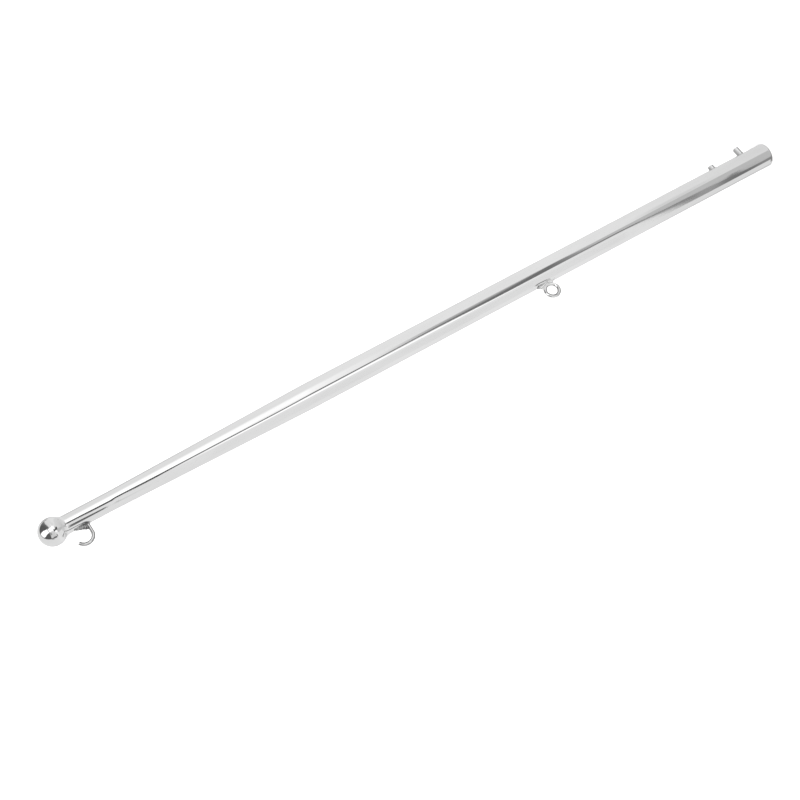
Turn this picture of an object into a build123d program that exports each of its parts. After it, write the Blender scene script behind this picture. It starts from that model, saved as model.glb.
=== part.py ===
from build123d import *

import os
from math import sqrt

# Boat flag staff of polished stainless steel: a tube with a tapered tip, a ball finial, a hook and
# an eye for the halyard, and two pins that lock its foot in a slotted deck socket.
# Millimetres, +Z up along the staff, origin at the centre of the base end.
# The hook and the eye stand on the -X side, the locking pins on the +X side.

# Tube
tube_diameter = 30.0
tip_diameter = 21.0
tube_wall = 2.0
base_length = 695.0  # parallel run from the foot to the start of the taper
taper_length = 250.0
tip_length = 55.0  # parallel run from the end of the taper to the ball's neck
rim_radius = 1.6  # rounding of the rim at the foot

# End plug
plug_length = 18.0
plug_fit = 0.05  # radial play of the plug in the tube's bore

# Ball finial
ball_diameter = 32.0
neck_radius = 9.0  # concave fillet between the ball and the tube
spigot_length = 22.0
spigot_fit = 0.05  # radial play of the spigot in the tube's bore

# Halyard hook
hook_wire = 4.0
hook_drop = 20.0  # shank axis below the tube's top end
hook_reach = 10.8  # straight shank outside the tube
hook_bend = 9.9  # centreline radius
hook_bend_angle = 150.0
hook_end_chamfer = 0.5

# Hook weld: a gusset on the ball's side of the shank and a small toe on the other
hook_weld_length = 12.0
hook_weld_height = 7.2
hook_weld_toe = 2.4
hook_weld_width = 6.6
weld_side_slope = 16.0

# Halyard eye
eye_wire = 4.2
eye_hole = 13.0
eye_height = 364.5
eye_stand_off = 0.7  # space between the ring and the tube, filled by the weld

# Eye weld
eye_weld_upper_reach = 13.5
eye_weld_lower_reach = 11.5
eye_weld_height = 4.6
eye_weld_width = 7.0

# Locking pins
pin_diameter = 8.0
pin_seat_diameter = 6.0  # where a pin passes through the wall
pin_fit = 0.05  # radial play of the seat in its hole
pin_chamfer = 1.2
pin_root = 0.8  # height of the weld fillet round a pin's root, above the tube's surface
long_pin_height = 28.0
long_pin_reach = 11.8  # beyond the tube's surface
pin_pitch = 47.0  # from the long pin up to the short one
short_pin_reach = 6.4

# Places that follow from the sizes above
tube_radius = tube_diameter / 2
tip_radius = tip_diameter / 2
taper_end = base_length + taper_length
tube_length = taper_end + tip_length
ball_radius = ball_diameter / 2
pin_radius = pin_diameter / 2
weld_root = tube_wall / 2  # how far a weld's outline starts inside the wall, before it is cut back


def surface_radius(height):
    """Outer radius of the tube at a height above the foot."""
    along = min(max((height - base_length) / taper_length, 0.0), 1.0)
    return tube_radius + (tip_radius - tube_radius) * along


os.makedirs("parts", exist_ok=True)

# ---- Tube: the outline and the bore share one stepped profile, a wall apart
with BuildPart() as tube_outline:
    with BuildSketch(Plane.XZ):
        with BuildLine():
            Polyline(
                (0, 0),
                (tube_radius, 0),
                (tube_radius, base_length),
                (tip_radius, taper_end),
                (tip_radius, tube_length),
                (0, tube_length),
                close=True,
            )
        make_face()
    revolve(axis=Axis.Z)

with BuildPart() as staff_tube:
    with BuildSketch(Plane.XZ):
        with BuildLine():
            Polyline(
                (tube_radius - tube_wall, 0),
                (tube_radius, 0),
                (tube_radius, base_length),
                (tip_radius, taper_end),
                (tip_radius, tube_length),
                (tip_radius - tube_wall, tube_length),
                (tip_radius - tube_wall, taper_end),
                (tube_radius - tube_wall, base_length),
                close=True,
            )
        make_face()
    revolve(axis=Axis.Z)
    foot_edges = staff_tube.edges().filter_by(GeomType.CIRCLE).group_by(Axis.Z)[0]
    fillet(foot_edges.sort_by(SortBy.RADIUS)[-1], radius=min(rim_radius, 0.9 * tube_wall))
    for height in (long_pin_height, long_pin_height + pin_pitch):
        with BuildSketch(Plane.YZ):
            with Locations((0, height)):
                Circle(pin_seat_diameter / 2 + pin_fit)
        extrude(amount=tube_diameter, mode=Mode.SUBTRACT)
staff_tube.part.label = "staff_tube"
export_step(staff_tube.part, "parts/staff_tube.step")

# ---- End plug: closes the foot, flush with the rim
with BuildPart() as end_plug:
    with BuildSketch(Plane.XY):
        Circle(tube_radius - tube_wall - plug_fit)
    extrude(amount=plug_length)
end_plug.part.label = "end_plug"
export_step(end_plug.part, "parts/end_plug.step")

# ---- Ball finial: ball, concave neck and spigot turned as one piece.
# The neck's arc is tangent to the ball and to the tube's surface.
neck_rise = sqrt((ball_radius + neck_radius) ** 2 - (tip_radius + neck_radius) ** 2)
ball_height = tube_length + neck_rise
neck_share = ball_radius / (ball_radius + neck_radius)
neck_top = (neck_share * (tip_radius + neck_radius), ball_height - neck_share * neck_rise)
spigot_radius = tip_radius - tube_wall - spigot_fit
with BuildPart() as ball_finial:
    with BuildSketch(Plane.XZ):
        with BuildLine():
            Polyline(
                (0, ball_height + ball_radius),
                (0, tube_length - spigot_length),
                (spigot_radius, tube_length - spigot_length),
                (spigot_radius, tube_length),
                (tip_radius, tube_length),
            )
            RadiusArc((tip_radius, tube_length), neck_top, neck_radius)
            ThreePointArc(neck_top, (ball_radius, ball_height), (0, ball_height + ball_radius))
        make_face()
    revolve(axis=Axis.Z)
ball_finial.part.label = "ball_finial"
export_step(ball_finial.part, "parts/ball_finial.step")

# ---- Halyard hook: round wire, out from the tube, round below and up to a short tip
hook_height = tube_length - hook_drop
hook_root = -surface_radius(hook_height)
bend_start = hook_root - hook_reach
with BuildPart() as hook:
    with BuildLine(Plane.XZ) as hook_path:
        Line((hook_root + weld_root, hook_height), (bend_start, hook_height))
        CenterArc((bend_start, hook_height + hook_bend), hook_bend, -90, -hook_bend_angle)
    with BuildSketch(Plane.YZ.offset(hook_root + weld_root)):
        with Locations((0, hook_height)):
            Circle(hook_wire / 2)
    sweep(path=hook_path.wires()[0])
    tip_face = hook.faces().filter_by(GeomType.PLANE).sort_by(Axis.Z)[-1]
    chamfer(tip_face.edges(), length=hook_end_chamfer)
    add(tube_outline.part, mode=Mode.SUBTRACT)
hook.part.label = "hook"
export_step(hook.part, "parts/hook.step")

# ---- Hook weld: sloped sides, cut back to the tube's and the wire's surfaces
wire_side = hook_wire / 2
with BuildPart() as hook_weld:
    with BuildSketch(Plane.XZ):
        with BuildLine():
            Polyline(
                (hook_root + weld_root, hook_height - wire_side - hook_weld_toe),
                (hook_root, hook_height - wire_side - hook_weld_toe),
                (hook_root - hook_weld_toe, hook_height - wire_side),
                (hook_root - hook_weld_height, hook_height + wire_side),
                (hook_root, hook_height + wire_side + hook_weld_length),
                (hook_root + weld_root, hook_height + wire_side + hook_weld_length),
                close=True,
            )
        make_face()
    extrude(amount=hook_weld_width / 2, both=True, taper=weld_side_slope)
    add(tube_outline.part, mode=Mode.SUBTRACT)
    add(hook.part, mode=Mode.SUBTRACT)
hook_weld.part.label = "hook_weld"
export_step(hook_weld.part, "parts/hook_weld.step")

# ---- Halyard eye: a closed ring of round wire
eye_radius = (eye_hole + eye_wire) / 2
eye_root = -surface_radius(eye_height)
eye_centre = eye_root - eye_stand_off - eye_radius - eye_wire / 2
with BuildPart() as eye:
    with BuildSketch(Plane.YZ.offset(eye_centre)):
        with Locations((0, eye_height + eye_radius)):
            Circle(eye_wire / 2)
    revolve(axis=Axis((eye_centre, 0, eye_height), (0, 1, 0)))
eye.part.label = "eye"
export_step(eye.part, "parts/eye.step")

# ---- Eye weld: a low mound with the ring's outer round as its seat
mound_top = eye_root - eye_weld_height
with BuildPart() as eye_weld:
    with BuildSketch(Plane.XZ):
        with BuildLine():
            Polyline(
                (eye_root + weld_root, eye_height - eye_weld_lower_reach),
                (eye_root, eye_height - eye_weld_lower_reach),
                (mound_top, eye_height - eye_radius),
                (mound_top, eye_height + eye_radius),
                (eye_root, eye_height + eye_weld_upper_reach),
                (eye_root + weld_root, eye_height + eye_weld_upper_reach),
                close=True,
            )
        make_face()
    extrude(amount=eye_weld_width / 2, both=True, taper=weld_side_slope)
    add(tube_outline.part, mode=Mode.SUBTRACT)
    with BuildSketch(Plane.XZ):
        with Locations((eye_centre, eye_height)):
            Circle(eye_radius + eye_wire / 2)
    extrude(amount=eye_weld_width, both=True, mode=Mode.SUBTRACT)
eye_weld.part.label = "eye_weld"
export_step(eye_weld.part, "parts/eye_weld.step")

# ---- Locking pins: a chamfered stud with a weld fillet at its root, on a thinner seat through the wall.
# The fillet's cone starts below the surface, and it is cut back to the tube with the stud.
root_depth = tube_wall + pin_root
pins = {
    "long_pin": (long_pin_height, long_pin_reach),
    "short_pin": (long_pin_height + pin_pitch, short_pin_reach),
}
for name, (height, reach) in pins.items():
    with BuildPart() as locking_pin:
        with BuildSketch(Plane.YZ.offset(tube_radius - tube_wall)):
            with Locations((0, height)):
                Circle(pin_radius)
        extrude(amount=tube_wall + reach)
        chamfer(locking_pin.edges().group_by(Axis.X)[-1], length=pin_chamfer)
        with BuildSketch(Plane.YZ.offset(tube_radius - tube_wall)):
            with Locations((0, height)):
                Circle(pin_radius + root_depth)
        extrude(amount=root_depth, taper=45)
        add(tube_outline.part, mode=Mode.SUBTRACT)
        with BuildSketch(Plane.YZ.offset(tube_radius - tube_wall)):
            with Locations((0, height)):
                Circle(pin_seat_diameter / 2)
        extrude(amount=tube_wall + reach / 2)
    locking_pin.part.label = name
    export_step(locking_pin.part, f"parts/{name}.step")
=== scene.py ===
"""Boat flag staff: looks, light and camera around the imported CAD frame. +Z up along the staff.

Places and sizes are in millimetres in this script and are turned into metres where a mesh is made.
"""

import math
import random

import bmesh
import bpy
from mathutils import Matrix, Vector


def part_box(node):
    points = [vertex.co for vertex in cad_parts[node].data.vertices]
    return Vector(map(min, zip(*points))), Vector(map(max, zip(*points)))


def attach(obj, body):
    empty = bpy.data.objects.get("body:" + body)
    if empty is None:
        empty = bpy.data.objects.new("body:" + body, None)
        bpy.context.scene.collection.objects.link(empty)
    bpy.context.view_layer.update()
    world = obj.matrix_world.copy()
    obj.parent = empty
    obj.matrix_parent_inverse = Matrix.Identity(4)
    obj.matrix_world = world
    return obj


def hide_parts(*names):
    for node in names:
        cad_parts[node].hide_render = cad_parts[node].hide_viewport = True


MM = 0.001

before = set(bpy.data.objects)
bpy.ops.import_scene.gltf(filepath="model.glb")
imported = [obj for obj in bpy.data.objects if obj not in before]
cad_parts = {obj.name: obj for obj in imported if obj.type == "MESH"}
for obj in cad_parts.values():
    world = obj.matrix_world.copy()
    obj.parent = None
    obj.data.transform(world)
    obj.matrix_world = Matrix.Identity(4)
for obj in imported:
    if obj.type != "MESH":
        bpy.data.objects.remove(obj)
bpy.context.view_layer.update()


def node_box(node):
    """The lowest and highest corners of a CAD node, in millimetres."""
    low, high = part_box(node)
    return low / MM, high / MM


# ---------------------------------------------------------------- sizes repeated from part.py
TUBE_RADIUS = 15.0
TIP_RADIUS = 10.5
TUBE_WALL = 2.0
TAPER_START = 695.0
TAPER_END = 945.0
RIM_RADIUS = 1.6
HOOK_WIRE = 2.0  # radius of the hook's wire
HOOK_BEND = 9.9  # radius of the bend's centreline
RING_BEND = 8.6  # radius of the ring's centreline
LONG_PIN_HEIGHT = 28.0
SHORT_PIN_HEIGHT = 75.0
PIN_RADIUS = 4.0
PIN_SEAT = 3.0
PIN_ROOT = 0.8


# ---------------------------------------------------------------- camera
# The camera looks down at the standing staff and is rolled, so the staff crosses the picture.
CAMERA_AIM = Vector((-49.3, 20.0, 598.7))
CAMERA_DISTANCE = 1844.0
CAMERA_AZIMUTH = math.radians(-112.163)  # from +X towards +Y, seen from the aim point
CAMERA_ELEVATION = math.radians(20.388)
CAMERA_ROLL = math.radians(118.506)
CAMERA_LENS = 72.0
CAMERA_SENSOR = 36.0
CAMERA_CLIP = (0.05, 400.0)  # metres


def make_camera():
    level_share = math.cos(CAMERA_ELEVATION)
    away = Vector(
        (
            level_share * math.cos(CAMERA_AZIMUTH),
            level_share * math.sin(CAMERA_AZIMUTH),
            math.sin(CAMERA_ELEVATION),
        )
    )
    data = bpy.data.cameras.new("camera")
    data.lens = CAMERA_LENS
    data.sensor_width = CAMERA_SENSOR
    data.clip_start, data.clip_end = CAMERA_CLIP
    camera = bpy.data.objects.new("camera", data)
    bpy.context.scene.collection.objects.link(camera)
    level = (-away).to_track_quat("-Z", "Y").to_matrix()
    roll = Matrix.Rotation(-CAMERA_ROLL, 3, "Z")
    place = (CAMERA_AIM + away * CAMERA_DISTANCE) * MM
    camera.matrix_world = Matrix.Translation(place) @ (level @ roll).to_4x4()
    bpy.context.scene.camera = camera


# ---------------------------------------------------------------- node helpers
def grey(value):
    return (value, value, value, 1.0)


def new_material(name):
    material = bpy.data.materials.new(name)
    material.use_nodes = True
    return material, Nodes(material.node_tree)


class Nodes:
    """A node tree with short calls for the sums that the studio and the materials are made of."""

    def __init__(self, tree):
        self.tree = tree
        tree.nodes.clear()

    def add(self, kind, inputs=None, **settings):
        node = self.tree.nodes.new(kind)
        for name, value in settings.items():
            setattr(node, name, value)
        for name, value in (inputs or {}).items():
            self.put(node.inputs[name], value)
        return node

    def put(self, socket, value):
        if isinstance(value, bpy.types.NodeSocket):
            self.tree.links.new(value, socket)
        else:
            socket.default_value = value

    def math(self, operation, *values, clamp=False):
        node = self.add("ShaderNodeMath", operation=operation, use_clamp=clamp)
        for socket, value in zip(node.inputs, values):
            self.put(socket, value)
        return node.outputs[0]

    def smooth(self, value, low, high, first=0.0, second=1.0):
        """first below low, second above high, smooth between them."""
        node = self.add("ShaderNodeMapRange", interpolation_type="SMOOTHSTEP")
        names = ("Value", "From Min", "From Max", "To Min", "To Max")
        for name, number in zip(names, (value, low, high, first, second)):
            self.put(node.inputs[name], number)
        return node.outputs[0]

    def between(self, value, low, high, edge):
        """1 between low and high, with soft edges."""
        over = self.smooth(self.math("SUBTRACT", value, low), -edge, edge)
        under = self.smooth(self.math("SUBTRACT", high, value), -edge, edge)
        return self.math("MULTIPLY", over, under)

    def panel(self, across, left, right, side_edge, up, bottom, top, edge):
        """1 inside a panel of the studio, with soft edges."""
        columns = self.between(across, left, right, side_edge)
        return self.math("MULTIPLY", columns, self.between(up, bottom, top, edge))

    def hang(self, light, across, up, panels, within=None):
        """The light with panels hung in it, each over the ones before. They show only where within is 1."""
        for left, right, side_edge, bottom, top, edge, brightness in panels:
            cover = self.panel(across, left, right, side_edge, up, bottom, top, edge)
            if within is not None:
                cover = self.math("MULTIPLY", cover, within)
            light = self.mix(cover, light, brightness)
        return light

    def mix(self, factor, first, second):
        """first where factor is 0 and second where it is 1."""
        node = self.add("ShaderNodeMix", data_type="FLOAT")
        for place, value in zip((0, 2, 3), (factor, first, second)):
            self.put(node.inputs[place], value)
        return node.outputs[0]

    def shade(self, value):
        return self.add("ShaderNodeCombineColor", {"Red": value, "Green": value, "Blue": value}).outputs[0]

    def curve(self, value, points):
        """A smooth curve through (value, result) points."""
        start, end = points[0][0], points[-1][0]
        low = min(result for _, result in points)
        span = max(result for _, result in points) - low
        share = self.math("DIVIDE", self.math("SUBTRACT", value, start), end - start, clamp=True)
        node = self.add("ShaderNodeFloatCurve", {"Value": share})
        curve = node.mapping.curves[0]
        while len(curve.points) < len(points):
            curve.points.new(0.5, 0.5)
        for spot, (place, result) in zip(curve.points, points):
            spot.location = ((place - start) / (end - start), (result - low) / span)
            spot.handle_type = "AUTO_CLAMPED"
        node.mapping.update()
        return self.math("MULTIPLY_ADD", node.outputs[0], span, low)


# ---------------------------------------------------------------- studio
# What the polished steel mirrors, by direction, in degrees: azimuth from the camera's side, elevation from level.
# Left and right are as the camera sees them. The staff stands in a white tent, with the camera looking in
# through a dark opening.
STUDIO_FRONT = -112.0  # world azimuth of studio azimuth 0
PLAIN = 1.25  # light of the tent as the floor and the camera see it

# Brightness of the tent by elevation
TENT = (
    (-90, 0.5), (-74, 0.72), (-50, 0.82), (-36, 0.85), (-25, 0.96), (-10, 0.91), (30, 0.88), (84, 0.84), (90, 0.6),
)

# Panels: left, right, side edge, bottom, top, edge, brightness
TENT_BACK = (
    (138, 214, 24, -60, 6, 5, 0.75),  # greyer cloth
    (152, 228, 14, -50, -32.4, 2, 0.62),  # fold at its foot
    (132, 200, 20, -12, 10, 3, 0.56),  # fold at the staff's height
    (125, 235, 10, -78, -46, 3, 0.1),  # gap under the cloth
)
SOFTBOX_SPLIT = ((2, 46, 3, 28.5, 34, 1, 0.4),)
FRONT = (
    (-52, -3, 4, -5, 31, 4, 0.74),  # grey wall left of the window
    (-24, -1, 3, 19, 31, 3, 0.36),  # dark shelf on it
    (-66, -53, 4, 15, 33, 3, 0.36),  # top of a dark stand at its left end
    (-58, -45, 3, -7, 17, 3, 0.17),  # the stand
    (11, 56, 11, -18.5, -5, 3, 1.24),  # the window's glow on the table
    (12, 40, 4, -12, -4, 3, 1.6),  # the window's sill
    (6, 34, 3, -7, 29, 1, 1.6),  # the window
    (-16, -4, 3, -26, -11.5, 2, 1.35),  # narrow pane low in the wall
)

# The tent is open overhead, and the opening leans over the staff. It ends, at a dark rim, where a direction's
# share along this axis, in the studio's own axes, falls to the end.
OPEN_TOP_AXIS = (0.78, 0.58, 0.23)
OPEN_TOP_END = 0.07
OPEN_TOP_EDGE = (-0.02, 0.03)  # from the end
RIM_WIDTH = (-0.04, 0.05)  # from the end
RIM_EDGE = 0.02
RIM_FOOT = (-9, -3)  # elevations over which the rim fades above the table
RIM_BRIGHTNESS = 0.14

# Overhead: the softbox's left and right edges by elevation, and the dark room's bottom by azimuth
BOX_LEFT = ((28, 6), (40, 3), (50, 1), (62, -8), (72, -28), (80, -62), (86, -180))
BOX_RIGHT = ((16, 34), (30, 39), (47, 49), (58, 69), (65, 92), (70, 140), (76, 180))
ROOM_BOTTOM = ((38, 15), (80, 16), (104, 11), (128, 4), (146, 0))
ROOM_BRIGHTNESS = 0.12
ROOM_GLOW = 0.24  # the room's brightness at its bottom
BOX_BRIGHTNESS = 1.6

# The camera's dark opening by elevation: left and right edges, softness of the right one, brightness.
# Each point was chosen so that its reflection follows the dark line that the photographed tube shows.
OPENING_LEFT = (
    (-35.4, -73), (-34, -74), (-32.9, -73), (-32.5, -68), (-32.25, -60), (-32.05, -42), (-31.9, -39),
    (-31.2, -22), (-30.5, -13), (-29.7, -8), (-28.5, -8), (-26, -9), (-24.7, -8), (-23.3, -1.5),
    (-21.9, 2.5), (-20, 1.5), (-17.5, 0), (-15.8, 0), (-14.3, -4), (-12.4, -2), (-10.8, -1), (-9.2, -8), (-8.4, 0),
)
OPENING_RIGHT = (
    (-35.8, -44), (-35.4, -48), (-34.8, -43), (-34.65, -38), (-34.5, -15), (-34.35, -15), (-34.15, -34),
    (-33.6, -23), (-32.9, -20), (-32.4, -17), (-31.9, -15), (-31.2, -10), (-30.5, -3), (-29.7, 1), (-28.8, 2),
    (-28.55, 5), (-28.25, 20.5), (-27.2, 26), (-26, 20), (-24.7, 14), (-23.3, 12), (-21.6, 10), (-20, 9),
    (-17.5, 8), (-15.8, 7.5), (-14.3, 3.5), (-12.4, 6), (-10.8, 7.5), (-9.2, 9.5), (-8.8, 12.5), (-8.4, 15.5),
)
OPENING_EDGE = ((-36, 2.5), (-29, 2.5), (-27.2, 4), (-26, 9), (-24.7, 12), (-22.5, 7), (-20, 2.5), (-8, 3))
OPENING_BRIGHTNESS = (
    (-35.4, 0.3), (-34.8, 0.2), (-34.1, 0.22), (-33.4, 0.4), (-32.4, 0.25), (-31.2, 0.26), (-30, 0.16),
    (-29.2, 0.19), (-28.2, 0.31), (-27, 0.17), (-26, 0.19), (-24.5, 0.17), (-22.5, 0.18), (-20, 0.07), (-8, 0.04),
)

# Cards: name, distance from the staff's axis, brightness, and level edges from the lowest up (height, left, right)
CARDS = (
    # A stand that ends the second dark line below the ball
    ("dark_stand", 600.0, 0.15, ((858, -52, -37), (916, -53, -27))),
    # A rest round the foot, close enough that only the rim and a few millimetres above it mirror it
    (
        "dark_rest",
        20.5,
        0.3,
        ((-60, -180, 180), (-14, -180, 180), (-13.9, -66, 24), (-3.4, -66, 20), (-1.0, -66, -30)),
    ),
    # A long light card left of the camera
    ("light_card", 600.0, 0.9, ((-100, -88, -30), (700, -88, -30))),
    # Two cards by the neck, which mirrors them as a dark spot and a light one
    ("dark_arm", 36.0, 0.07, ((996.4, 3.5, 19), (1015, -6.7, -1))),
    ("light_wall", 38.0, 0.88, ((1003, 31, 54), (1012.5, 31, 54))),
)
CARD_STEPS = 24  # flat strips that a card is bent into


def overhead_light(n, light, azimuth, elevation, inside):
    """Dark room over the open tent, split by the overhead softbox, which narrows towards the front window."""
    box_left = n.curve(elevation, BOX_LEFT)
    box_right = n.curve(elevation, BOX_RIGHT)
    room_bottom = n.curve(azimuth, ROOM_BOTTOM)
    room_glow = n.smooth(elevation, 6, 34, ROOM_GLOW, ROOM_BRIGHTNESS)
    overhead = (
        (box_right, 156, 5, room_bottom, 66, 4, room_glow),
        (-150, box_left, 5, 31, 82, 4, ROOM_BRIGHTNESS),
        (box_left, box_right, 3, 30, 100, 3, BOX_BRIGHTNESS),
    )
    return n.hang(light, azimuth, elevation, overhead, inside)


def table_light(n, light, azimuth, elevation):
    """Table under the camera: mid-grey up to the camera's dark opening."""
    left = n.curve(elevation, OPENING_LEFT)
    right = n.curve(elevation, OPENING_RIGHT)
    right_edge = n.curve(elevation, OPENING_EDGE)
    table = (
        (20, 46, 12, -33.6, -31, 0.8, 0.77),
        (left, 21, 3, -38, -28.2, 0.6, 0.6),
        (-26, 4, 6, -74, -38, 3, 0.6),
        (left, 28, 4, -26.5, -21.5, 1.2, 0.5),
    )
    light = n.hang(light, azimuth, elevation, table)
    past_left = n.smooth(n.math("SUBTRACT", azimuth, left), -2, 2)
    before_right = n.smooth(n.math("SUBTRACT", right, azimuth), n.math("MULTIPLY", right_edge, -1.0), right_edge)
    columns = n.math("MULTIPLY", past_left, before_right)
    opening = n.math("MULTIPLY", columns, n.between(elevation, -38, -5, 2))
    return n.mix(opening, light, n.curve(elevation, OPENING_BRIGHTNESS))


def make_studio():
    world = bpy.data.worlds.new("studio")
    bpy.context.scene.world = world
    world.use_nodes = True
    n = Nodes(world.node_tree)
    direction = n.add("ShaderNodeTexCoord").outputs["Generated"]
    turned = n.add(
        "ShaderNodeVectorRotate",
        {"Vector": direction, "Angle": math.radians(-STUDIO_FRONT)},
        rotation_type="Z_AXIS",
    ).outputs[0]
    split = n.add("ShaderNodeSeparateXYZ", {"Vector": turned}).outputs
    azimuth = n.math("DEGREES", n.math("ARCTAN2", split["Y"], split["X"]))
    around = n.math("MULTIPLY_ADD", n.math("LESS_THAN", azimuth, 0.0), 360.0, azimuth)
    elevation = n.math("DEGREES", n.math("ARCSINE", split["Z"]))
    along = n.add("ShaderNodeVectorMath", {0: turned, 1: OPEN_TOP_AXIS}, operation="DOT_PRODUCT").outputs["Value"]

    light = n.hang(n.curve(elevation, TENT), around, elevation, TENT_BACK)
    inside = n.smooth(along, OPEN_TOP_END + OPEN_TOP_EDGE[0], OPEN_TOP_END + OPEN_TOP_EDGE[1])
    light = overhead_light(n, light, azimuth, elevation, inside)
    light = n.hang(light, azimuth, elevation, SOFTBOX_SPLIT + FRONT)

    rim = n.between(along, OPEN_TOP_END + RIM_WIDTH[0], OPEN_TOP_END + RIM_WIDTH[1], RIM_EDGE)
    light = n.mix(n.math("MULTIPLY", rim, n.smooth(elevation, *RIM_FOOT)), light, RIM_BRIGHTNESS)
    light = table_light(n, light, azimuth, elevation)

    path = n.add("ShaderNodeLightPath").outputs
    seen = n.mix(path["Is Glossy Ray"], PLAIN, light)
    background = n.add("ShaderNodeBackground", {"Color": n.shade(seen), "Strength": 1.0}).outputs[0]
    n.add("ShaderNodeOutputWorld", {"Surface": background})


FLOOR_RADIUS = 150.0  # metres
FLOOR_BRIGHTNESS = 0.94


def make_floor():
    """A pale floor much wider than the view. The steel mirrors the studio and not the floor."""
    bpy.ops.mesh.primitive_circle_add(vertices=96, radius=FLOOR_RADIUS, fill_type="NGON", location=(0, 0, 0))
    floor = bpy.context.object
    floor.name = "floor"
    material, n = new_material("pale_floor")
    surface = n.add("ShaderNodeBsdfPrincipled", {"Base Color": grey(FLOOR_BRIGHTNESS), "Roughness": 0.9})
    n.add("ShaderNodeOutputMaterial", {"Surface": surface.outputs[0]})
    floor.data.materials.append(material)
    floor.visible_glossy = False


def make_card(name, corners, faces, brightness):
    """A card of the studio that only the steel mirrors."""
    mesh = bpy.data.meshes.new(name)
    mesh.from_pydata([Vector(corner) * MM for corner in corners], [], faces)
    card = bpy.data.objects.new(name, mesh)
    bpy.context.scene.collection.objects.link(card)
    material, n = new_material(name)
    surface = n.add("ShaderNodeEmission", {"Color": grey(brightness)})
    n.add("ShaderNodeOutputMaterial", {"Surface": surface.outputs[0]})
    mesh.materials.append(material)
    card.visible_camera = False
    card.visible_diffuse = False
    card.visible_shadow = False


def make_cards():
    """Cards bent round the staff, in studio azimuths."""
    for name, away, brightness, edges in CARDS:
        corners = []
        for height, left, right in edges:
            for step in range(CARD_STEPS + 1):
                turn = math.radians(STUDIO_FRONT + left + (right - left) * step / CARD_STEPS)
                corners.append((away * math.cos(turn), away * math.sin(turn), height))
        faces = []
        for row in range(len(edges) - 1):
            for step in range(CARD_STEPS):
                first = row * (CARD_STEPS + 1) + step
                faces.append((first, first + 1, first + CARD_STEPS + 2, first + CARD_STEPS + 1))
        make_card(name, corners, faces, brightness)


SUN_STRENGTH = 1.3
SUN_ANGLE = math.radians(60)
SUN_TILT = (math.radians(25), math.radians(-20), 0)


def make_sun():
    """Even soft light on the floor. The steel mirrors the studio and not this light."""
    data = bpy.data.lights.new("soft_sun", "SUN")
    data.energy = SUN_STRENGTH
    data.angle = SUN_ANGLE
    light = bpy.data.objects.new("soft_sun", data)
    light.rotation_euler = SUN_TILT
    light.visible_glossy = False
    light.visible_camera = False
    bpy.context.scene.collection.objects.link(light)


# ---------------------------------------------------------------- materials
# Tones are the reflectance of the metal. Scales of noise are per millimetre along each axis.
TUBE_POLISH = 0.80
WIRE_POLISH = 0.76
PIN_POLISH = 0.74
TUBE_GRAIN = (6.0, 6.0, 0.15)  # belt lines along the tube
BALL_GRAIN = (3.0, 3.0, 3.0)
WIRE_GRAIN = (2.5, 2.5, 2.5)
PIN_GRAIN = (5.0, 0.8, 0.8)
POLISH_RELIEF = 0.0004  # millimetres


def object_place(n):
    return n.add("ShaderNodeTexCoord").outputs["Object"]


def object_axes(n):
    """Places along the object's own axes, in metres."""
    return n.add("ShaderNodeSeparateXYZ", {"Vector": object_place(n)}).outputs


def stretched_noise(n, scale, detail=2.0, place=None):
    """Noise with its own scale along each axis, at a place of the object or at another one that is given."""
    if place is None:
        place = object_place(n)
    sized = n.add("ShaderNodeMapping", {"Vector": place, "Scale": [part / MM for part in scale]}).outputs[0]
    return n.add("ShaderNodeTexNoise", {"Vector": sized, "Scale": 1.0, "Detail": detail}).outputs[0]


def fade(n, axis, start, band, first=0.0, second=1.0):
    """Along an axis of the object, first before a band of millimetres counted from start, and second after it."""
    return n.smooth(axis, (start + band[0]) * MM, (start + band[1]) * MM, first, second)


def length_in_mm(n, first, second):
    """Length of the diagonal over two distances in metres."""
    square = n.math("ADD", n.math("MULTIPLY", first, first), n.math("MULTIPLY", second, second))
    return n.math("MULTIPLY", n.math("SQRT", square), 1.0 / MM)


def finish_steel(n, tone, roughness, height, depth, metallic=1.0):
    """Metal with a tone and a roughness of its own at each place, and a fine relief depth millimetres deep."""
    bump = n.add("ShaderNodeBump", {"Height": height, "Strength": 1.0, "Distance": depth * MM}).outputs[0]
    surface = n.add(
        "ShaderNodeBsdfPrincipled",
        {"Base Color": n.shade(tone), "Metallic": metallic, "Roughness": roughness, "Normal": bump},
    )
    n.add("ShaderNodeOutputMaterial", {"Surface": surface.outputs[0]})


# Hairlines: scale, tilt in degrees, and the noise above which they show
LONG_HAIRLINES = ((5.0, 5.0, 0.03), 2.0, 0.77)
CROSS_HAIRLINES = ((0.05, 2.0, 6.0), -24.0, 0.82)


def hairlines(n, scale, tilt, share):
    """Thin straight scratches that lie a tilt away from the scale's long axis."""
    turned = n.add(
        "ShaderNodeVectorRotate", {"Vector": object_place(n), "Angle": math.radians(tilt)}, rotation_type="Y_AXIS"
    ).outputs[0]
    return n.smooth(stretched_noise(n, scale, 0.0, turned), share, share + 0.03)


SMEARS = (0.05, 0.05, 0.012)
CLEAN_ROUGHNESS = 0.03
SMEAR_ROUGHNESS = 0.075
BELT_ROUGHNESS = 0.02  # added along the belt lines
SCRATCH_ROUGHNESS = 0.06  # added in the scratches
SMEAR_TONE = -0.03
SCRATCH_TONE = -0.05
SCRATCH_DEPTH = -0.6  # as a share of the relief


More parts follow.
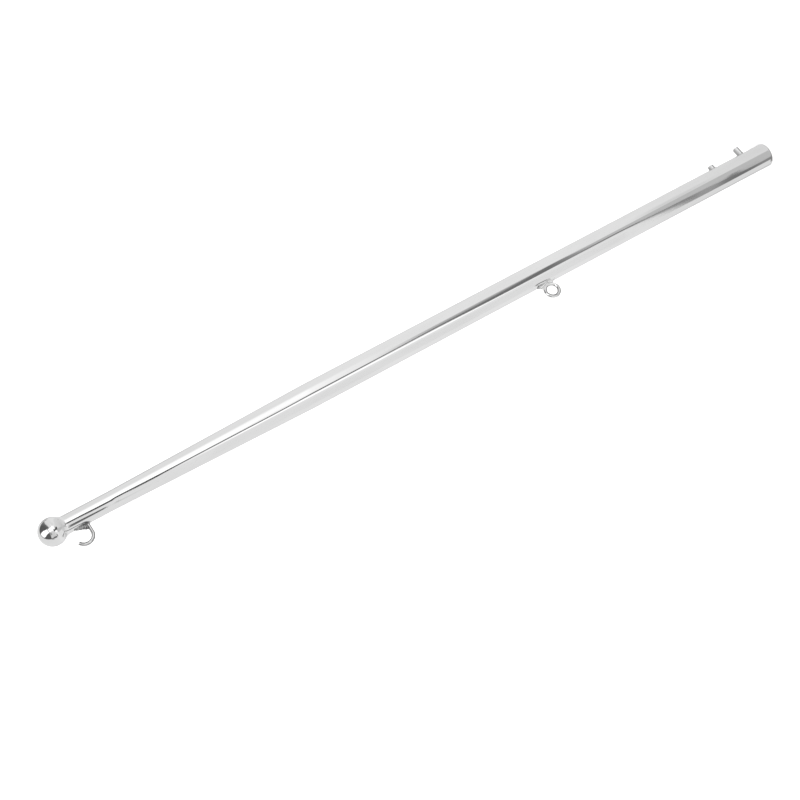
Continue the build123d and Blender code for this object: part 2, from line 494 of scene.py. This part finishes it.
def polish(n, grain, brightness, dull):
    """Tone, roughness and relief of polished steel: belt lines, faint smears and a few hairline scratches."""
    lines = stretched_noise(n, grain, 3.0)
    smears = stretched_noise(n, SMEARS, 4.0)
    scratches = n.math("MAXIMUM", hairlines(n, *LONG_HAIRLINES), hairlines(n, *CROSS_HAIRLINES))
    roughness = n.smooth(smears, 0.35, 0.7, CLEAN_ROUGHNESS + dull, SMEAR_ROUGHNESS + dull)
    roughness = n.math("MULTIPLY_ADD", lines, BELT_ROUGHNESS, roughness)
    roughness = n.math("MULTIPLY_ADD", scratches, SCRATCH_ROUGHNESS, roughness)
    tone = n.smooth(smears, 0.3, 0.75, brightness, brightness + SMEAR_TONE)
    tone = n.math("MULTIPLY_ADD", scratches, SCRATCH_TONE, tone)
    relief = n.math("MULTIPLY_ADD", scratches, SCRATCH_DEPTH, lines)
    return tone, roughness, relief


def polished_steel(name, grain):
    material, n = new_material(name)
    tone, roughness, relief = polish(n, grain, TUBE_POLISH, 0.0)
    finish_steel(n, tone, roughness, relief, POLISH_RELIEF)
    return material


# Bands on a bent wire, from the bend's centreline outwards: where each fades out or in. Both bands are painted
# shade: the inner one on the side towards the bend's middle, the outer one along the outermost side.
INNER_SHADE_BAND = (-1.7, -0.3)
OUTER_SHADE_BAND = (1.0, 1.9)
INNER_ROUGHNESS = 0.2
INNER_SHADE_BLOTCHES = 0.14  # how much lighter the inner painted shade's lightest blotches are
BLOTCH_SCALE = (0.6, 0.6, 0.6)
WIRE_DULL = 0.01  # added to the roughness of polished steel
BLASTED_BAND = (0.0, 3.0)  # where a ring's polish gives way to the blasted side
BLASTED_TONE = 0.84
BLASTED_ROUGHNESS = 0.34


def bend_reach(n, centre, shift, shank):
    """Distance from the shifted middle of a bend in the XZ plane. Along a straight shank only the height counts."""
    axes = object_axes(n)
    off_x = n.math("SUBTRACT", axes["X"], (centre[0] + shift[0]) * MM)
    if shank:
        off_x = n.math("MINIMUM", off_x, 0.0)
    return length_in_mm(n, off_x, n.math("SUBTRACT", axes["Z"], (centre[1] + shift[1]) * MM))


def wire_steel(name, centre, bend, inner_shift, inner_shade_tone, outer_shift, outer_shade_tone, shank=False, blasted_from=None):
    """Polished wire whose side towards the middle of its bend is dull and carries painted shade. The outermost side
    carries painted shade, a tone of its own. A shift moves such a band's middle, so that one part is wider.
    Beyond the X of blasted_from, towards the tube, the wire is only blasted."""
    material, n = new_material(name)
    tone, roughness, relief = polish(n, WIRE_GRAIN, WIRE_POLISH, WIRE_DULL)
    inner_reach = bend_reach(n, centre, inner_shift, shank)
    outer_reach = bend_reach(n, centre, outer_shift, shank)
    inner_shade = n.smooth(inner_reach, bend + INNER_SHADE_BAND[0], bend + INNER_SHADE_BAND[1], 1.0, 0.0)
    outer_shade = n.smooth(outer_reach, bend + OUTER_SHADE_BAND[0], bend + OUTER_SHADE_BAND[1])
    if blasted_from is not None:
        blasted = fade(n, object_axes(n)["X"], blasted_from, BLASTED_BAND)
        tone = n.mix(blasted, tone, BLASTED_TONE)
        roughness = n.mix(blasted, roughness, BLASTED_ROUGHNESS)
        outer_shade = n.math("MULTIPLY", outer_shade, n.math("SUBTRACT", 1.0, blasted))
    blotches = stretched_noise(n, BLOTCH_SCALE, 3.0)
    # Painted shade: the inner side darkened, lighter in blotches, and the outermost side darkened.
    tone = n.mix(inner_shade, tone, n.smooth(blotches, 0.3, 0.7, inner_shade_tone, inner_shade_tone + INNER_SHADE_BLOTCHES))
    tone = n.mix(outer_shade, tone, outer_shade_tone)
    roughness = n.mix(inner_shade, roughness, INNER_ROUGHNESS)
    finish_steel(n, tone, roughness, relief, POLISH_RELIEF)
    return material


WELD_MOTTLE = (0.7, 0.7, 0.7)
WELD_GRAIN = (2.5, 2.5, 2.5)


def weld_steel(name, tones, roughnesses, depth, tint):
    """Weld metal, mottled between two tones and two roughnesses, under a tint that varies from place to place."""
    material, n = new_material(name)
    mottle = stretched_noise(n, WELD_MOTTLE, 3.0)
    fine = stretched_noise(n, WELD_GRAIN, 2.0)
    tone = n.math("MULTIPLY", n.smooth(mottle, 0.35, 0.68, *tones), tint(n))
    roughness = n.smooth(fine, 0.3, 0.7, *roughnesses)
    relief = n.math("MULTIPLY_ADD", fine, 0.5, mottle)
    finish_steel(n, tone, roughness, relief, depth)
    return material


# Tints multiply a material's tone. Bands are in millimetres from the place that each comment names.
SHANK_DARK_BAND = (0.0, 9.0)  # from the shank's axis towards the ball
SHANK_DARK_TINTS = (0.45, 1.1)  # at the band's start and end
BELOW_SHANK_BAND = (-2.0, -0.7)  # from the shank's axis
BELOW_SHANK_TINT = 1.5
# Painted shade on the eye weld: along its toe on the tube and at its upper end.
TOE_SHADE_BAND = (0.3, 1.0)  # from the tube's surface
TOE_SHADE_START = (2.0, 5.0)  # from the ring's middle
TOE_SHADE_END = (-3.0, -1.0)  # from the weld's upper end
TOE_SHADE_TINT = 0.5


def shank_weld_tint(height):
    """Darkest at the shank, lighter along the gusset, and brighter below the shank."""

    def tint(n):
        up = object_axes(n)["Z"]
        shank_dark = fade(n, up, height, SHANK_DARK_BAND, *SHANK_DARK_TINTS)
        below_shank = fade(n, up, height, BELOW_SHANK_BAND, 1.0, 0.0)
        return n.mix(below_shank, shank_dark, BELOW_SHANK_TINT)

    return tint


def toe_painted_shade(middle, end):
    """Painted shade along the line where the weld meets the tube, on the ball's side of the ring, and on the weld's
    upper end.
    """

    def tint(n):
        axes = object_axes(n)
        off_axis = length_in_mm(n, axes["X"], axes["Y"])
        # Painted shade along the toe, above the ring's middle, and at the upper end.
        toe = n.smooth(off_axis, TUBE_RADIUS + TOE_SHADE_BAND[0], TUBE_RADIUS + TOE_SHADE_BAND[1], TOE_SHADE_TINT, 1.0)
        above = fade(n, axes["Z"], middle, TOE_SHADE_START)
        tip = fade(n, axes["Z"], end, TOE_SHADE_END, 1.0, TOE_SHADE_TINT)
        return n.math("MULTIPLY", n.mix(above, 1.0, toe), tip)

    return tint


PIN_DULL = 0.24  # added to the roughness of polished steel
PIN_METALLIC = 0.6
# Painted shade on the pins: bands, measured from the axis and from the root, where the tone is darkened.
PIN_UNDERSIDE_SHADE = (-0.9, 0.9)  # from the pin's axis
PIN_UNDERSIDE_SHADE_TINT = 0.46
PIN_TOP_SHADE = (2.4, 3.8)  # from the pin's axis
PIN_TOP_SHADE_TINT = 0.55
PIN_ROOT_SHADE_BAND = (-0.2, 0.9)  # from the tube's surface
PIN_ROOT_SHADE_TINT = 0.6


def pin_steel():
    """Blasted satin pins with painted shade underneath, along the top and round the root, which leaves a lighter
    stripe between.
    """
    material, n = new_material("satin_pin")
    tone, roughness, relief = polish(n, PIN_GRAIN, PIN_POLISH, PIN_DULL)
    axes = object_axes(n)
    halfway = (SHORT_PIN_HEIGHT + LONG_PIN_HEIGHT) / 2
    on_long = n.math("LESS_THAN", axes["Z"], halfway * MM)
    off_axis = n.math("SUBTRACT", axes["Z"], n.mix(on_long, SHORT_PIN_HEIGHT * MM, LONG_PIN_HEIGHT * MM))
    under = fade(n, off_axis, 0.0, PIN_UNDERSIDE_SHADE, PIN_UNDERSIDE_SHADE_TINT, 1.0)
    over = fade(n, off_axis, 0.0, PIN_TOP_SHADE, 1.0, PIN_TOP_SHADE_TINT)
    root = fade(n, axes["X"], TUBE_RADIUS, PIN_ROOT_SHADE_BAND, PIN_ROOT_SHADE_TINT, 1.0)
    # Painted shade underneath, along the top and round the root.
    tone = n.math("MULTIPLY", n.math("MULTIPLY", tone, under), n.math("MULTIPLY", over, root))
    finish_steel(n, tone, roughness, relief, POLISH_RELIEF, PIN_METALLIC)
    return material


TOOL_RINGS = 4.5  # scale of the plug's rings
RING_ROUGHNESS = 0.15  # added along the rings
RING_RELIEF = 0.01
PLUG_MOTTLE = (0.4, 0.4, 0.4)
PLUG_TONES = (0.52, 0.62)
PLUG_ROUGHNESS = 0.2


def turned_steel():
    """Face of the end plug: rings left by the lathe tool."""
    material, n = new_material("turned_steel")
    axes = object_axes(n)
    off_axis = length_in_mm(n, axes["X"], axes["Y"])
    rings = n.add(
        "ShaderNodeTexNoise", {"W": n.math("MULTIPLY", off_axis, TOOL_RINGS), "Detail": 2.0}, noise_dimensions="1D"
    ).outputs[0]
    tone = n.smooth(stretched_noise(n, PLUG_MOTTLE, 3.0), 0.3, 0.7, *PLUG_TONES)
    roughness = n.math("MULTIPLY_ADD", rings, RING_ROUGHNESS, PLUG_ROUGHNESS)
    finish_steel(n, tone, roughness, rings, RING_RELIEF)
    return material


# ---------------------------------------------------------------- pieces
def add_piece(name, mesh, material, replaced):
    mesh.materials.append(material)
    piece = bpy.data.objects.new(name, mesh)
    bpy.context.scene.collection.objects.link(piece)
    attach(piece, "root")
    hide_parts(replaced)


def arc(centre, radius, start, end, steps):
    """Points on an arc in a plane, from one angle to another, in degrees."""
    angles = [math.radians(start + (end - start) * step / steps) for step in range(steps + 1)]
    return [(centre[0] + radius * math.cos(a), centre[1] + radius * math.sin(a)) for a in angles]


def lathe(name, profile, sharp=30.0, segments=160, axis=Matrix.Identity(4)):
    """A closed (radius, height) profile turned about an axis, in millimetres. Edges over sharp degrees stay
    sharp."""
    turns = [2 * math.pi * step / segments for step in range(segments)]
    bm = bmesh.new()
    rings = []
    for radius, height in profile:
        if radius == 0:
            rings.append([bm.verts.new((0, 0, height))])
        else:
            rings.append([bm.verts.new((radius * math.cos(t), radius * math.sin(t), height)) for t in turns])
    closed = len(rings[0]) > 1
    uppers = rings[1:] + rings[:1] if closed else rings[1:]
    for lower, upper in zip(rings, uppers):
        for step in range(segments):
            after = (step + 1) % segments
            low_pair = [lower[step % len(lower)], lower[after % len(lower)]]
            high_pair = [upper[after % len(upper)], upper[step % len(upper)]]
            bm.faces.new(list(dict.fromkeys(low_pair + high_pair)))
    bmesh.ops.recalc_face_normals(bm, faces=bm.faces)
    bm.transform(Matrix.Scale(MM, 4) @ axis)
    mesh = bpy.data.meshes.new(name)
    bm.to_mesh(mesh)
    bm.free()
    mesh.shade_smooth()
    mesh.set_sharp_from_angle(angle=math.radians(sharp))
    return mesh


EASE = 4.0  # rings this far each side of a bend keep the straight runs straight


def make_tube(material):
    """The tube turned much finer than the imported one, so that its long reflections run smooth."""
    top = node_box("staff_tube")[1].z
    bore, tip_bore = TUBE_RADIUS - TUBE_WALL, TIP_RADIUS - TUBE_WALL
    slope = (TUBE_RADIUS - TIP_RADIUS) / (TAPER_END - TAPER_START)
    sag = slope * EASE / 8  # how far a bend's own ring lies off the sharp corner
    outline = arc((TUBE_RADIUS - RIM_RADIUS, RIM_RADIUS), RIM_RADIUS, -90, 0, 10)
    outline += [(TUBE_RADIUS, 2 * RIM_RADIUS), (TUBE_RADIUS, TAPER_START - EASE)]
    outline += [(TUBE_RADIUS - sag, TAPER_START), (TUBE_RADIUS - slope * EASE, TAPER_START + EASE)]
    outline += [(TIP_RADIUS + slope * EASE, TAPER_END - EASE), (TIP_RADIUS + sag, TAPER_END)]
    outline += [(TIP_RADIUS, TAPER_END + EASE), (TIP_RADIUS, top), (tip_bore, top)]
    outline += [(tip_bore, TAPER_END), (bore, TAPER_START), (bore, 0.0)]
    add_piece("tube_skin", lathe("tube_skin", outline), material, "staff_tube")


PIN_TIP_ROUND = 1.4
PIN_FLANGE = 1.2  # how far the weld fillet's foot reaches into the wall


def make_pin(node, material):
    """A stud with a rounded tip and a concave weld fillet at its root, turned about +X."""
    low, high = node_box(node)
    fillet = arc((PIN_RADIUS + PIN_ROOT, TUBE_RADIUS + PIN_ROOT), PIN_ROOT, 270, 180, 6)
    below = TUBE_RADIUS - PIN_FLANGE
    profile = [(0, TUBE_RADIUS - TUBE_WALL), (PIN_SEAT, TUBE_RADIUS - TUBE_WALL), (PIN_SEAT, below)]
    profile += [(PIN_RADIUS + PIN_ROOT, below)] + fillet
    profile += arc((PIN_RADIUS - PIN_TIP_ROUND, high.x - PIN_TIP_ROUND), PIN_TIP_ROUND, 0, 80, 8) + [(0, high.x)]
    stand = Matrix.Translation((0, 0, (low.z + high.z) / 2)) @ Matrix.Rotation(math.radians(90), 4, "Y")
    name = node + "_turned"
    add_piece(name, lathe(name, profile, 40.0, 64, stand), material, node)


def add_disc(bm, place, size, tilt=0.0):
    """One frozen ripple of weld metal: a flattened ball, tilted in the plane of the hook and the eye.
    Its size is given by its three radii: out from the tube, across it and along it."""
    made = bmesh.ops.create_icosphere(bm, subdivisions=3, radius=1.0)["verts"]
    turn = Matrix.Rotation(math.radians(tilt), 4, "Y")
    sized = Matrix.Diagonal((*size, 1.0))
    bmesh.ops.transform(bm, matrix=Matrix.Translation(place) @ turn @ sized, verts=made)


WELD_VOXEL = 0.2


def fuse(name, bm, passes):
    """One closed skin round overlapping lumps, smoothed where they meet."""
    loose = bpy.data.meshes.new(name + "_lumps")
    bm.to_mesh(loose)
    bm.free()
    holder = bpy.data.objects.new(name + "_lumps", loose)
    bpy.context.scene.collection.objects.link(holder)
    remesh = holder.modifiers.new("fuse", "REMESH")
    remesh.mode = "VOXEL"
    remesh.voxel_size = WELD_VOXEL
    smooth = holder.modifiers.new("smooth", "SMOOTH")
    smooth.factor = 0.5
    smooth.iterations = passes
    graph = bpy.context.evaluated_depsgraph_get()
    mesh = bpy.data.meshes.new_from_object(holder.evaluated_get(graph))
    mesh.name = name
    bpy.data.objects.remove(holder)
    bpy.data.meshes.remove(loose)
    mesh.transform(Matrix.Scale(MM, 4))
    mesh.shade_smooth()
    return mesh


GUSSET_RIPPLES = 10
GUSSET_TILT = -24.0
COLLAR_RIPPLES = 12
COLLAR_RADIUS = 2.4


def make_hook_weld():
    """A gusset of ripples on the ball's side of the shank, a collar round the shank and a small toe below it."""
    low, high = node_box("hook_weld")
    shank = node_box("hook")[0].z + HOOK_WIRE
    reach, length = -TIP_RADIUS - low.x + 0.3, high.z - shank - HOOK_WIRE + 2.2
    dice = random.Random(4)
    bm = bmesh.new()
    for step in range(GUSSET_RIPPLES):
        share = (step + 0.5) / GUSSET_RIPPLES
        tall = reach * (1 - share) + 0.7
        wide = 1.9 + 1.1 * (1 - share) + dice.uniform(-0.15, 0.15)
        along = shank + HOOK_WIRE - 0.8 + length * share + dice.uniform(-0.12, 0.12)
        place = (0.8 - TIP_RADIUS - tall / 2, dice.uniform(-0.2, 0.2), along)
        add_disc(bm, place, (tall / 2 + 0.7, wide, 1.35), GUSSET_TILT)
        add_disc(bm, (0.3 - TIP_RADIUS, 0, along), (0.8, wide + 0.8, 1.3))
    for step in range(COLLAR_RIPPLES):
        turn = 2 * math.pi * step / COLLAR_RIPPLES
        place = (-0.3 - TIP_RADIUS, COLLAR_RADIUS * math.sin(turn), shank + COLLAR_RADIUS * math.cos(turn))
        add_disc(bm, place, (1.2, 1.0, 1.0), dice.uniform(-20, 20))
    add_disc(bm, (0.2 - TIP_RADIUS, 0, shank - 3.0), (1.2, 2.2, 1.4), 20.0)
    bead = fuse("hook_weld_bead", bm, 5)
    rough_weld = weld_steel("rough_weld", (0.2, 0.66), (0.2, 0.36), 0.04, shank_weld_tint(shank))
    add_piece("hook_weld_bead", bead, rough_weld, "hook_weld")


# The eye weld's two feet: side of the ring, where the foot leaves the ring and where it ends along the tube,
# height under the ring, and power of its hollow curve
UPPER_END = 14.0
UPPER_FOOT = (1, 9.4, UPPER_END, 5.0, 1.15)
LOWER_FOOT = (-1, 7.2, 12.0, 3.4, 2.2)
FOOT_RIPPLES = 22
RING_OVERLAP = 0.8  # how far the weld reaches into the ring's wire


def make_eye_weld():
    """Two dressed feet that run from the ring onto the tube, one long and straight, one short and concave."""
    ring_low, ring_high = node_box("eye")
    middle = (ring_low.z + ring_high.z) / 2
    ring = (ring_high.z - ring_low.z) / 2
    centre = (ring_low.x + ring_high.x) / 2
    dice = random.Random(9)
    bm = bmesh.new()
    for side, free, reach, height, hollow in (UPPER_FOOT, LOWER_FOOT):
        for step in range(FOOT_RIPPLES):
            along = 1.0 + (reach - 1.9) * step / (FOOT_RIPPLES - 1)
            drop = math.sqrt(max((ring - RING_OVERLAP) ** 2 - along**2, 0.0))
            under_ring = -TUBE_RADIUS - centre - drop
            past = max(along - free, 0.0) / (reach - free)
            tall = min(under_ring, height * (1 - past) ** hollow) + 0.35
            wide = 2.1 + 0.5 * past + dice.uniform(-0.06, 0.06)
            add_disc(bm, (0.6 - TUBE_RADIUS - tall / 2, 0, middle + side * along), (tall / 2 + 0.55, wide, 0.9))
            add_disc(bm, (0.3 - TUBE_RADIUS, 0, middle + side * along), (0.75, wide + 0.9, 1.2))
    bead = fuse("eye_weld_bead", bm, 9)
    # The eye weld's tint is painted shade along its toe and at its upper end.
    scale = toe_painted_shade(middle, middle + UPPER_END)
    dressed_weld = weld_steel("dressed_weld", (0.76, 0.9), (0.08, 0.16), 0.012, scale)
    add_piece("eye_weld_bead", bead, dressed_weld, "eye_weld")


def dress(node, material):
    """Give a CAD node that stays in view its material."""
    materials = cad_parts[node].data.materials
    materials.clear()
    materials.append(material)


def dress_wires():
    """The hook's and the ring's wire. The middle of the hook's bend follows from the lowest corner of its box."""
    hook_low, _ = node_box("hook")
    hook_middle = (hook_low.x + HOOK_WIRE + HOOK_BEND, hook_low.z + HOOK_WIRE + HOOK_BEND)
    ring_low, ring_high = node_box("eye")
    ring_middle = ((ring_low.x + ring_high.x) / 2, (ring_low.z + ring_high.z) / 2)
    # Both wires carry painted shade on the inner side of the bend and along the outermost side.
    hook_wire = wire_steel(
        "hook_wire",
        hook_middle,
        HOOK_BEND,
        inner_shift=(-1.0, 1.1),
        inner_shade_tone=0.14,
        outer_shift=(0.0, 0.8),
        outer_shade_tone=0.38,
        shank=True,
    )
    eye_wire = wire_steel(
        "eye_wire",
        ring_middle,
        RING_BEND,
        inner_shift=(-1.0, 1.0),
        inner_shade_tone=0.12,
        outer_shift=(-0.5, 1.3),
        outer_shade_tone=0.36,
        blasted_from=-24.0,
    )
    dress("hook", hook_wire)
    dress("eye", eye_wire)


make_camera()
make_studio()
make_floor()
make_cards()
make_sun()

make_tube(polished_steel("polished_tube", TUBE_GRAIN))
satin_pin = pin_steel()
for pin in ("long_pin", "short_pin"):
    make_pin(pin, satin_pin)
make_hook_weld()
make_eye_weld()
dress("ball_finial", polished_steel("polished_ball", BALL_GRAIN))
dress("end_plug", turned_steel())
dress_wires()

bpy.context.scene.view_settings.view_transform = "Standard"
